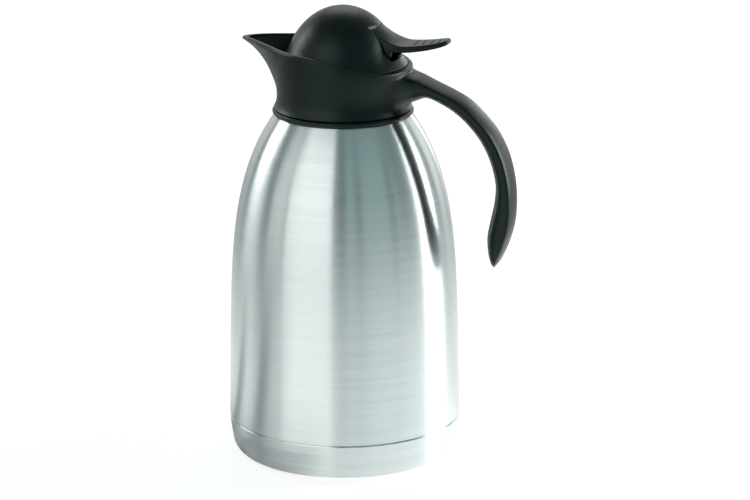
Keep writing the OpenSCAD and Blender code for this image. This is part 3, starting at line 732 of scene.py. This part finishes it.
def round_edges(node_name, width):
    """Welds a carried-over solid's facets and rounds its edges, with the mesh itself left as it is."""
    solid = NODES[node_name]
    weld = solid.modifiers.new("weld", "WELD")
    weld.merge_threshold = 0.00001
    bevel = solid.modifiers.new("rounded_edges", "BEVEL")
    bevel.width = width
    bevel.segments = 3
    bevel.limit_method = "ANGLE"
    bevel.angle_limit = math.radians(SHARP_EDGE)
    bevel.harden_normals = False


round_edges("lid_dome", 0.0004)


# Camera at the photograph's angle


CAMERA_PLACE = Vector((0.532, -1.919, 0.704))
HEADING = math.radians(14.93)
PITCH = math.radians(16.09)
ROLL = math.radians(-0.19)
LENS_MM, SENSOR_MM = 157.25, 36.0

TOWARDS_CAMERA = Vector((math.sin(HEADING), -math.cos(HEADING), 0.0))
PICTURE_RIGHT = Vector((math.cos(HEADING), math.sin(HEADING), 0.0))


def place_camera():
    """The camera, turned about its own view line by the photograph's small roll."""
    look = -TOWARDS_CAMERA * math.cos(PITCH) - Vector((0.0, 0.0, math.sin(PITCH)))
    up = PICTURE_RIGHT.cross(look)
    across = PICTURE_RIGHT * math.cos(ROLL) + up * math.sin(ROLL)
    upright = up * math.cos(ROLL) - PICTURE_RIGHT * math.sin(ROLL)
    data = bpy.data.cameras.new("camera")
    data.lens = LENS_MM
    data.sensor_width = SENSOR_MM
    data.clip_start = 0.05
    data.clip_end = 50.0
    camera = bpy.data.objects.new("camera", data)
    turned = Matrix((across, upright, -look)).transposed().to_4x4()
    camera.matrix_world = Matrix.Translation(CAMERA_PLACE) @ turned
    bpy.context.scene.collection.objects.link(camera)
    bpy.context.scene.camera = camera


place_camera()


# Studio: strip lamps, cards that only reflections see, white paper floor


COOL = (0.72, 1.0, 1.0)
NEUTRAL = (1.0, 1.0, 1.0)
LAMP_AIM = 0.14
CARD_FOOT = 0.001


def around(angle, distance, height):
    """A point round the object: 0 degrees is towards the camera, 90 is to the picture's right."""
    a = math.radians(angle)
    way = TOWARDS_CAMERA * math.cos(a) + PICTURE_RIGHT * math.sin(a)
    return way * distance + Vector((0.0, 0.0, height))


def strip_lamp(name, angle, distance, height, width, tall, radiance):
    """A soft box of an even radiance, facing the object."""
    data = bpy.data.lights.new(name, "AREA")
    data.shape = "RECTANGLE"
    data.size = width
    data.size_y = tall
    data.energy = radiance * math.pi * width * tall
    lamp = bpy.data.objects.new(name, data)
    lamp.location = around(angle, distance, height)
    lamp.rotation_euler = (Vector((0.0, 0.0, LAMP_AIM)) - lamp.location).to_track_quat("-Z", "Y").to_euler()
    bpy.context.scene.collection.objects.link(lamp)


def emission_material(name, colour):
    """A plain glowing paper for the studio."""
    material = bpy.data.materials.new(name)
    material.use_nodes = True
    tree = material.node_tree
    tree.nodes.clear()
    glow = tree.nodes.new("ShaderNodeEmission")
    glow.inputs["Color"].default_value = tuple(colour) + (1.0,)
    output = tree.nodes.new("ShaderNodeOutputMaterial")
    tree.links.new(glow.outputs[0], output.inputs[0])
    return material


def wall_card(name, start, end, distance, low, high, shade, tint=NEUTRAL):
    """A curved studio card from one angle to another, seen by reflections only."""
    steps = max(2, int(abs(end - start) / 4))
    corners = []
    for i in range(steps + 1):
        angle = start + (end - start) * i / steps
        corners += [around(angle, distance, low), around(angle, distance, high)]
    faces = [(2 * i, 2 * i + 2, 2 * i + 3, 2 * i + 1) for i in range(steps)]
    mesh = bpy.data.meshes.new(name)
    mesh.from_pydata(corners, [], faces)
    mesh.materials.append(emission_material(name, [shade * c for c in tint]))
    card = bpy.data.objects.new(name, mesh)
    bpy.context.scene.collection.objects.link(card)
    card.visible_camera = False
    card.visible_diffuse = False
    card.visible_shadow = False
    card.visible_transmission = False
    return card


def floor_card(name, start, end, near, far, shade):
    """A bright card lying on the floor, seen by reflections only."""
    card = wall_card(name, start, end, near, CARD_FOOT, CARD_FOOT, shade)
    steps = len(card.data.vertices) // 2
    for i in range(steps):
        angle = start + (end - start) * i / (steps - 1)
        card.data.vertices[2 * i + 1].co = around(angle, far, CARD_FOOT)


strip_lamp("left_strip", -120, 1.5, 0.80, 0.40, 0.8, 7.5)
strip_lamp("right_strip", 102, 1.3, 0.42, 0.56, 0.9, 9.0)
strip_lamp("handle_strip", 156, 1.6, 0.34, 0.2, 0.5, 3.0)
strip_lamp("top_back_box", 178, 1.6, 1.7, 1.2, 0.8, 2.4)

wall_card("front_left_card", -63, -12, 1.1, CARD_FOOT, 1.6, 1.66)
wall_card("left_card", -85, -66, 1.1, CARD_FOOT, 1.2, 1.05)
wall_card("left_back_card", -121, -98, 1.1, CARD_FOOT, 0.45, 0.85)
wall_card("back_right_card", 130, 144, 1.85, CARD_FOOT, 0.7, 1.3)
wall_card("back_card", 128, 222, 1.9, CARD_FOOT, 1.6, 0.75)
wall_card("front_room", 3, 64, 1.3, CARD_FOOT, 1.6, 0.50, COOL)
wall_card("camera_stand", -4, 2, 1.2, CARD_FOOT, 0.9, 0.18, COOL)
wall_card("lamp_stand", 13, 21, 1.2, CARD_FOOT, 0.9, 0.25, COOL)
wall_card("doorway", 51, 59, 1.2, CARD_FOOT, 0.9, 0.25, COOL)

# Shade of the paper floor in reflections, by its angle round the object
FLOOR_SHADES = [
    (-180, 0.9), (-128, 0.9), (-118, 0.9), (-114, 0.15), (-107, 0.15), (-101, 0.9), (-85, 0.9), (-80, 0.25),
    (-73, 0.25), (-66, 0.8), (-56, 1.0), (-46, 1.45), (-12, 1.45), (-4, 1.15), (2, 1.1), (30, 1.3), (64, 1.5),
    (100, 1.6), (128, 1.0), (180, 0.9),
]
FLOOR_TOP_SHADE = 1.6
PAPER_SEEN = 0.81
PAPER_COLOUR = (0.36, 0.36, 0.36, 1.0)
FADE_FROM, FADE_TO, FADED = 0.30, 0.64, 0.22


def floor_glow_strength(tree):
    """Camera rays see white paper, and reflections see the floor's shades, fading into the room."""
    seen = tree.nodes.new("ShaderNodeLightPath")
    place = tree.nodes.new("ShaderNodeTexCoord").outputs["Object"]
    split = tree.nodes.new("ShaderNodeSeparateXYZ")
    tree.links.new(place, split.inputs[0])
    far = tree.nodes.new("ShaderNodeVectorMath")
    far.operation = "LENGTH"
    tree.links.new(place, far.inputs[0])

    def along(direction):
        a = math_node(tree, "MULTIPLY", split.outputs[0], direction.x)
        b = math_node(tree, "MULTIPLY", split.outputs[1], direction.y)
        return math_node(tree, "ADD", a, b)

    angle = math_node(tree, "ARCTAN2", along(PICTURE_RIGHT), along(TOWARDS_CAMERA))
    beyond = math_node(tree, "MAXIMUM", math_node(tree, "SUBTRACT", far.outputs["Value"], FADE_FROM), 0.0)
    angle = math_node(tree, "ADD", angle, math_node(tree, "MULTIPLY", beyond, 0.66))
    share = map_range(tree, angle, -math.pi, math.pi, 0.0, 1.0, smooth=False)
    ramp = tree.nodes.new("ShaderNodeValToRGB")
    tree.links.new(share, ramp.inputs[0])
    stops = ramp.color_ramp.elements
    while len(stops) < len(FLOOR_SHADES):
        stops.new(0.5)
    for stop, (degrees, shade) in zip(stops, FLOOR_SHADES):
        stop.position = degrees / 360 + 0.5
        stop.color = (shade / FLOOR_TOP_SHADE,) * 3 + (1.0,)
    shade = math_node(tree, "MULTIPLY", ramp.outputs["Color"], FLOOR_TOP_SHADE)
    fade = map_range(tree, far.outputs["Value"], FADE_FROM, FADE_TO, 1.0, FADED)
    # Painted shadow: the floor's glow in reflections is darker near the object's foot, most of all on its
    # left side.
    right_of_axis = along(PICTURE_RIGHT)
    foot_shade = map_range(tree, right_of_axis, -0.05, 0.005, 0.25, 0.9)
    near = map_range(tree, far.outputs["Value"], 0.08, 0.20, 1.0, 0.0)
    unlit = math_node(tree, "SUBTRACT", 1.0, foot_shade)
    under = math_node(tree, "SUBTRACT", 1.0, math_node(tree, "MULTIPLY", near, unlit))
    reflected = math_node(tree, "MULTIPLY", math_node(tree, "MULTIPLY", shade, fade), under)
    shown = math_node(tree, "MULTIPLY", seen.outputs["Is Camera Ray"], PAPER_SEEN)
    through = math_node(tree, "MULTIPLY", seen.outputs["Is Transmission Ray"], PAPER_SEEN)
    mirrored = math_node(tree, "MULTIPLY", seen.outputs["Is Glossy Ray"], reflected)
    return math_node(tree, "ADD", math_node(tree, "ADD", shown, through), mirrored)


def paper_floor():
    """A large sheet of paper that keeps the object's soft shadow."""
    mesh = bpy.data.meshes.new("floor")
    mesh.from_pydata([(-6, -6, 0), (6, -6, 0), (6, 6, 0), (-6, 6, 0)], [], [(0, 1, 2, 3)])
    floor = bpy.data.objects.new("floor", mesh)
    floor.location = (0.0, 0.0, -0.0002)
    material = emission_material("floor_paper", NEUTRAL)
    tree = material.node_tree
    glow = next(n for n in tree.nodes if n.type == "EMISSION")
    output = next(n for n in tree.nodes if n.type == "OUTPUT_MATERIAL")
    tree.links.new(floor_glow_strength(tree), glow.inputs["Strength"])
    paper = tree.nodes.new("ShaderNodeBsdfDiffuse")
    paper.inputs["Color"].default_value = PAPER_COLOUR
    both = tree.nodes.new("ShaderNodeAddShader")
    tree.links.new(paper.outputs[0], both.inputs[0])
    tree.links.new(glow.outputs[0], both.inputs[1])
    tree.links.new(both.outputs[0], output.inputs[0])
    mesh.materials.append(material)
    bpy.context.scene.collection.objects.link(floor)


def studio_world():
    """A dim room, white where the camera sees it or looks through something."""
    world = bpy.data.worlds.new("studio")
    bpy.context.scene.world = world
    world.use_nodes = True
    tree = world.node_tree
    tree.nodes.clear()
    seen = tree.nodes.new("ShaderNodeLightPath")
    room = tree.nodes.new("ShaderNodeBackground")
    room.inputs["Color"].default_value = (0.24, 0.31, 0.31, 1.0)
    white = tree.nodes.new("ShaderNodeBackground")
    white.inputs["Color"].default_value = (1.0, 1.0, 1.0, 1.0)
    shown = math_node(tree, "MAXIMUM", seen.outputs["Is Camera Ray"], seen.outputs["Is Transmission Ray"])
    both = tree.nodes.new("ShaderNodeMixShader")
    tree.links.new(shown, both.inputs[0])
    tree.links.new(room.outputs[0], both.inputs[1])
    tree.links.new(white.outputs[0], both.inputs[2])
    output = tree.nodes.new("ShaderNodeOutputWorld")
    tree.links.new(both.outputs[0], output.inputs[0])


floor_card("floor_sheen", 85, 99, 0.55, 0.9, 4.0)
paper_floor()
studio_world()
bpy.context.scene.view_settings.view_transform = "Standard"
